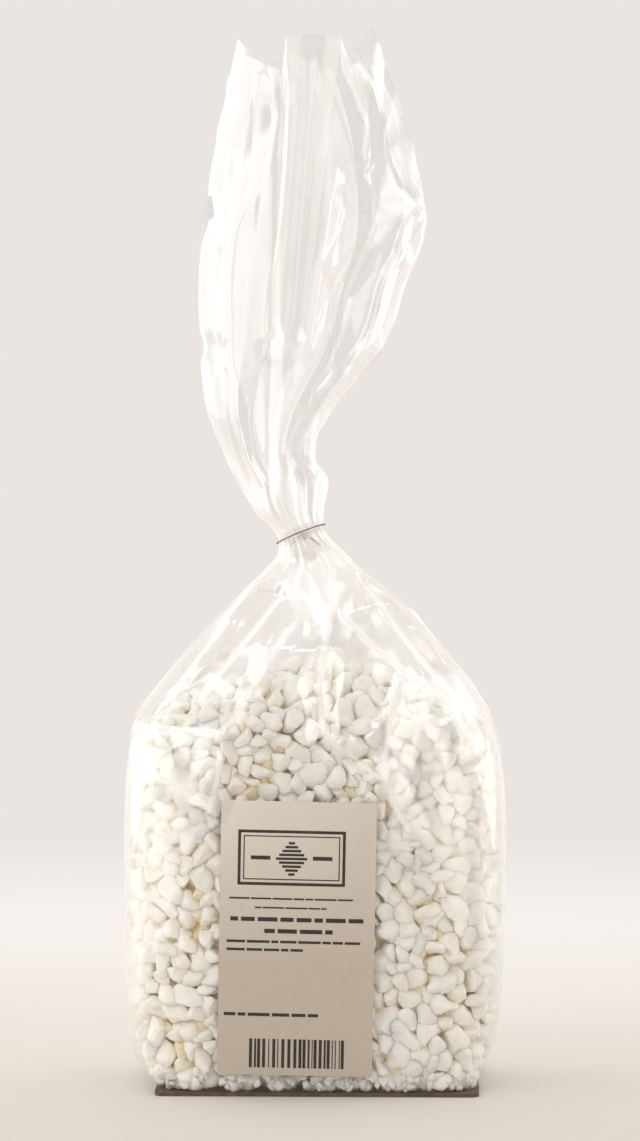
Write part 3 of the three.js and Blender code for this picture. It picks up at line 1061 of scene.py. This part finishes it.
TIE_SLOPE_X = 0.4
TIE_SLOPE_Y = -0.12
TIE_STEPS = 96
STRIP_WIDTH = 4.0
TWIST_LENGTH = 11.0
TWIST_RADIUS = 0.75
TWIST_TURNS = 2.5

# The strip's section, with a ridge over the wire: the share of its half width, then how far out
STRIP_SECTION = [(-1, 0.35), (-1, 0.6), (-0.2, 0.62), (0, 0.95), (0.2, 0.62), (1, 0.6), (1, 0.35), (0, 0.35)]


def tie_ring(out, lift):
    """A loop round the neck, tilted as the tie is."""
    angles = np.linspace(0, 2 * math.pi, TIE_STEPS, endpoint=False)
    height = np.full(TIE_STEPS, TIE_HEIGHT)
    centre = centre_at(TIE_HEIGHT)
    for _ in range(4):
        x, y, _ = bag_points(angles, 0, height, out).T
        height = TIE_HEIGHT + lift + TIE_SLOPE_X * (x - centre) + TIE_SLOPE_Y * y
    return bag_points(angles, 0, height, out)


def strip_piece(material):
    rings = [tie_ring(out, share * STRIP_WIDTH / 2) for share, out in STRIP_SECTION]
    faces = []
    for side in range(len(rings)):
        here = side * TIE_STEPS
        there = (side + 1) % len(rings) * TIE_STEPS
        for step in range(TIE_STEPS):
            ahead = (step + 1) % TIE_STEPS
            faces.append((here + ahead, there + ahead, there + step, here + step))
    piece = make_mesh("tie_band", np.concatenate(rings), faces, material)
    piece.data.set_sharp_from_angle(angle=math.radians(40))
    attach(piece, "root")
    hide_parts("neck_tie")


def tube(name, path, radius, material, closed=False):
    """A tube along points, with flat ends unless it is a loop."""
    curve = bpy.data.curves.new(name, "CURVE")
    curve.dimensions = "3D"
    spline = curve.splines.new("POLY")
    spline.points.add(len(path) - 1)
    for point, place in zip(spline.points, path):
        point.co = (*(np.array(place) * MM), 1)
    spline.use_cyclic_u = closed
    curve.bevel_depth = radius * MM
    curve.bevel_resolution = 2
    curve.use_fill_caps = True
    piece = bpy.data.objects.new(name, curve)
    bpy.context.scene.collection.objects.link(piece)
    curve.materials.append(material)
    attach(piece, "root")
    return piece


def tie_ends(strip, wire):
    """The two ends, twisted together behind the neck, then splayed."""
    start = tie_ring(1.35, 0)[TIE_STEPS // 4]
    for number, phase in enumerate((0, math.pi)):
        path = []
        for share in np.linspace(0, 1, 41):
            turn = phase + share * TWIST_TURNS * 2 * math.pi
            along = share * TWIST_LENGTH
            aside = TWIST_RADIUS * math.cos(turn)
            path.append(start + (aside, along, TWIST_RADIUS * math.sin(turn) - 0.1 * along))
        twist_end = path[-1]
        side = 1 if twist_end[0] > start[0] else -1
        for share in np.linspace(0.2, 1, 5):
            path.append(twist_end + np.array([side * 4 * share**1.3, 6 * share, -3 * share**1.5]))
        band = tube(f"tie_end_{number}", path, 0.7, strip)
        core = tube(f"tie_end_wire_{number}", path, 0.28, wire)


def wire_piece(material):
    piece = tube("tie_loop_wire", tie_ring(0.62, 0), 0.2, material, closed=True)


# The stage

FLOOR_RADIUS = 800.0
FLOOR_SIDES = 96


def floor_piece():
    """A round pale floor that fades out into the backdrop, with painted shade that darkens it towards the
    front.
    """
    material, nodes, links, bsdf = new_material("floor")
    bsdf.inputs["Roughness"].default_value = 0.7
    place, (_, y, _) = place_nodes(nodes, links, "Object")
    # Painted shade: the floor's colour darkens towards the front and pales far off to the backdrop's colour
    away = map_range(nodes, links, y, -0.15, 0.45, 0.0, 1.0)
    stops = [(0.0, (0.615, 0.574, 0.524)), (1.0, (0.92, 0.915, 0.92))]
    colour = colour_ramp(nodes, links, away, stops)
    links.new(colour, bsdf.inputs["Base Color"])
    length = nodes.new("ShaderNodeVectorMath")
    length.operation = "LENGTH"
    links.new(place, length.inputs[0])
    fade = map_range(nodes, links, length.outputs["Value"], 0.25, 0.75, 1.0, 0.0)
    fade.node.interpolation_type = "SMOOTHSTEP"
    links.new(fade, bsdf.inputs["Alpha"])
    angles = np.linspace(0, 2 * math.pi, FLOOR_SIDES, endpoint=False)
    ring = np.stack([np.cos(angles), np.sin(angles), 0 * angles], axis=1) * FLOOR_RADIUS
    piece = make_mesh("floor", ring, [list(range(FLOOR_SIDES))], material, smooth=False)


def area_light(name, place, target, size, power, colour):
    light = bpy.data.lights.new(name, "AREA")
    light.shape = "RECTANGLE"
    light.size, light.size_y = size
    light.energy = power
    light.color = colour
    lamp = bpy.data.objects.new(name, light)
    lamp.location = place
    lamp.rotation_euler = (Vector(target) - Vector(place)).to_track_quat("-Z", "Y").to_euler()
    lamp.visible_camera = False
    bpy.context.scene.collection.objects.link(lamp)


def studio():
    """Soft boxes beside the camera, beside the bag and above it, and a bright backdrop."""
    middle = (0, 0, 0.16)
    warm = (1, 0.975, 0.95)
    area_light("left_front_box", (-1.02, -0.95, 0.5), middle, (1.0, 1.4), 7.7, warm)
    area_light("right_front_box", (0.84, -1.16, 0.5), middle, (0.72, 1.4), 5.2, warm)
    area_light("left_box", (-1.3, 0.1, 0.5), middle, (1.1, 1.3), 7.2, warm)
    area_light("right_box", (1.3, 0.1, 0.5), middle, (1.1, 1.3), 5.8, warm)
    area_light("top_box", (0.0, 0.15, 1.3), middle, (1.2, 0.8), 3.8, warm)
    area_light("front_top_box", (-0.05, -1.0, 1.15), middle, (0.5, 0.45), 1.6, warm)
    world = bpy.data.worlds.new("studio")
    bpy.context.scene.world = world
    world.use_nodes = True
    nodes, links = world.node_tree.nodes, world.node_tree.links
    background = nodes["Background"]
    _, y, _ = place_nodes(nodes, links, "Generated")[1]
    rays = nodes.new("ShaderNodeLightPath")
    behind = map_range(nodes, links, y, -0.6, 0.4, 0.0, 1.0)
    room = colour_ramp(nodes, links, behind, [(0.0, (0.27, 0.255, 0.235)), (1.0, (0.8, 0.765, 0.72))])
    beside = map_range(nodes, links, y, -0.92, -0.35, 0.0, 1.0)
    mirrored = colour_ramp(nodes, links, beside, [(0.0, (0.44, 0.425, 0.40)), (1.0, (0.97, 0.945, 0.91))])
    colour = mix_colours(nodes, links, rays.outputs["Is Glossy Ray"], room, mirrored)
    backdrop = (0.823, 0.783, 0.742, 1)
    colour = mix_colours(nodes, links, rays.outputs["Is Camera Ray"], colour, backdrop)
    links.new(colour, background.inputs["Color"])


CAMERA_AZIMUTH = 1.5
CAMERA_ELEVATION = 3.5
CAMERA_DISTANCE = 1.5
CAMERA_TARGET = (0.0003, 0.0, 0.1605)
FRAME_HEIGHT = 0.356


def camera():
    azimuth = math.radians(CAMERA_AZIMUTH)
    elevation = math.radians(CAMERA_ELEVATION)
    level = math.cos(elevation)
    away = Vector((math.sin(azimuth) * level, -math.cos(azimuth) * level, math.sin(elevation)))
    data = bpy.data.cameras.new("camera")
    data.sensor_fit = "VERTICAL"
    data.sensor_height = 36
    data.lens = 36 * CAMERA_DISTANCE / FRAME_HEIGHT
    data.clip_start = 0.05
    piece = bpy.data.objects.new("camera", data)
    piece.location = Vector(CAMERA_TARGET) + away * CAMERA_DISTANCE
    piece.rotation_euler = (-away).to_track_quat("-Z", "Y").to_euler()
    bpy.context.scene.collection.objects.link(piece)
    bpy.context.scene.camera = piece


scene = bpy.context.scene
scene.view_settings.view_transform = "Standard"
scene.cycles.transparent_max_bounces = 24
scene.cycles.diffuse_bounces = 8

camera()
studio()
floor_piece()
film_piece(film_material())
sugar_pieces(sugar_material())
label_piece(paper_material())
print_piece(ink_material())
strip = strip_material()
wire = wire_material()
strip_piece(strip)
wire_piece(wire)
tie_ends(strip, wire)
card_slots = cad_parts["base_card"].data.materials
card_slots.clear()
card_slots.append(card_material())
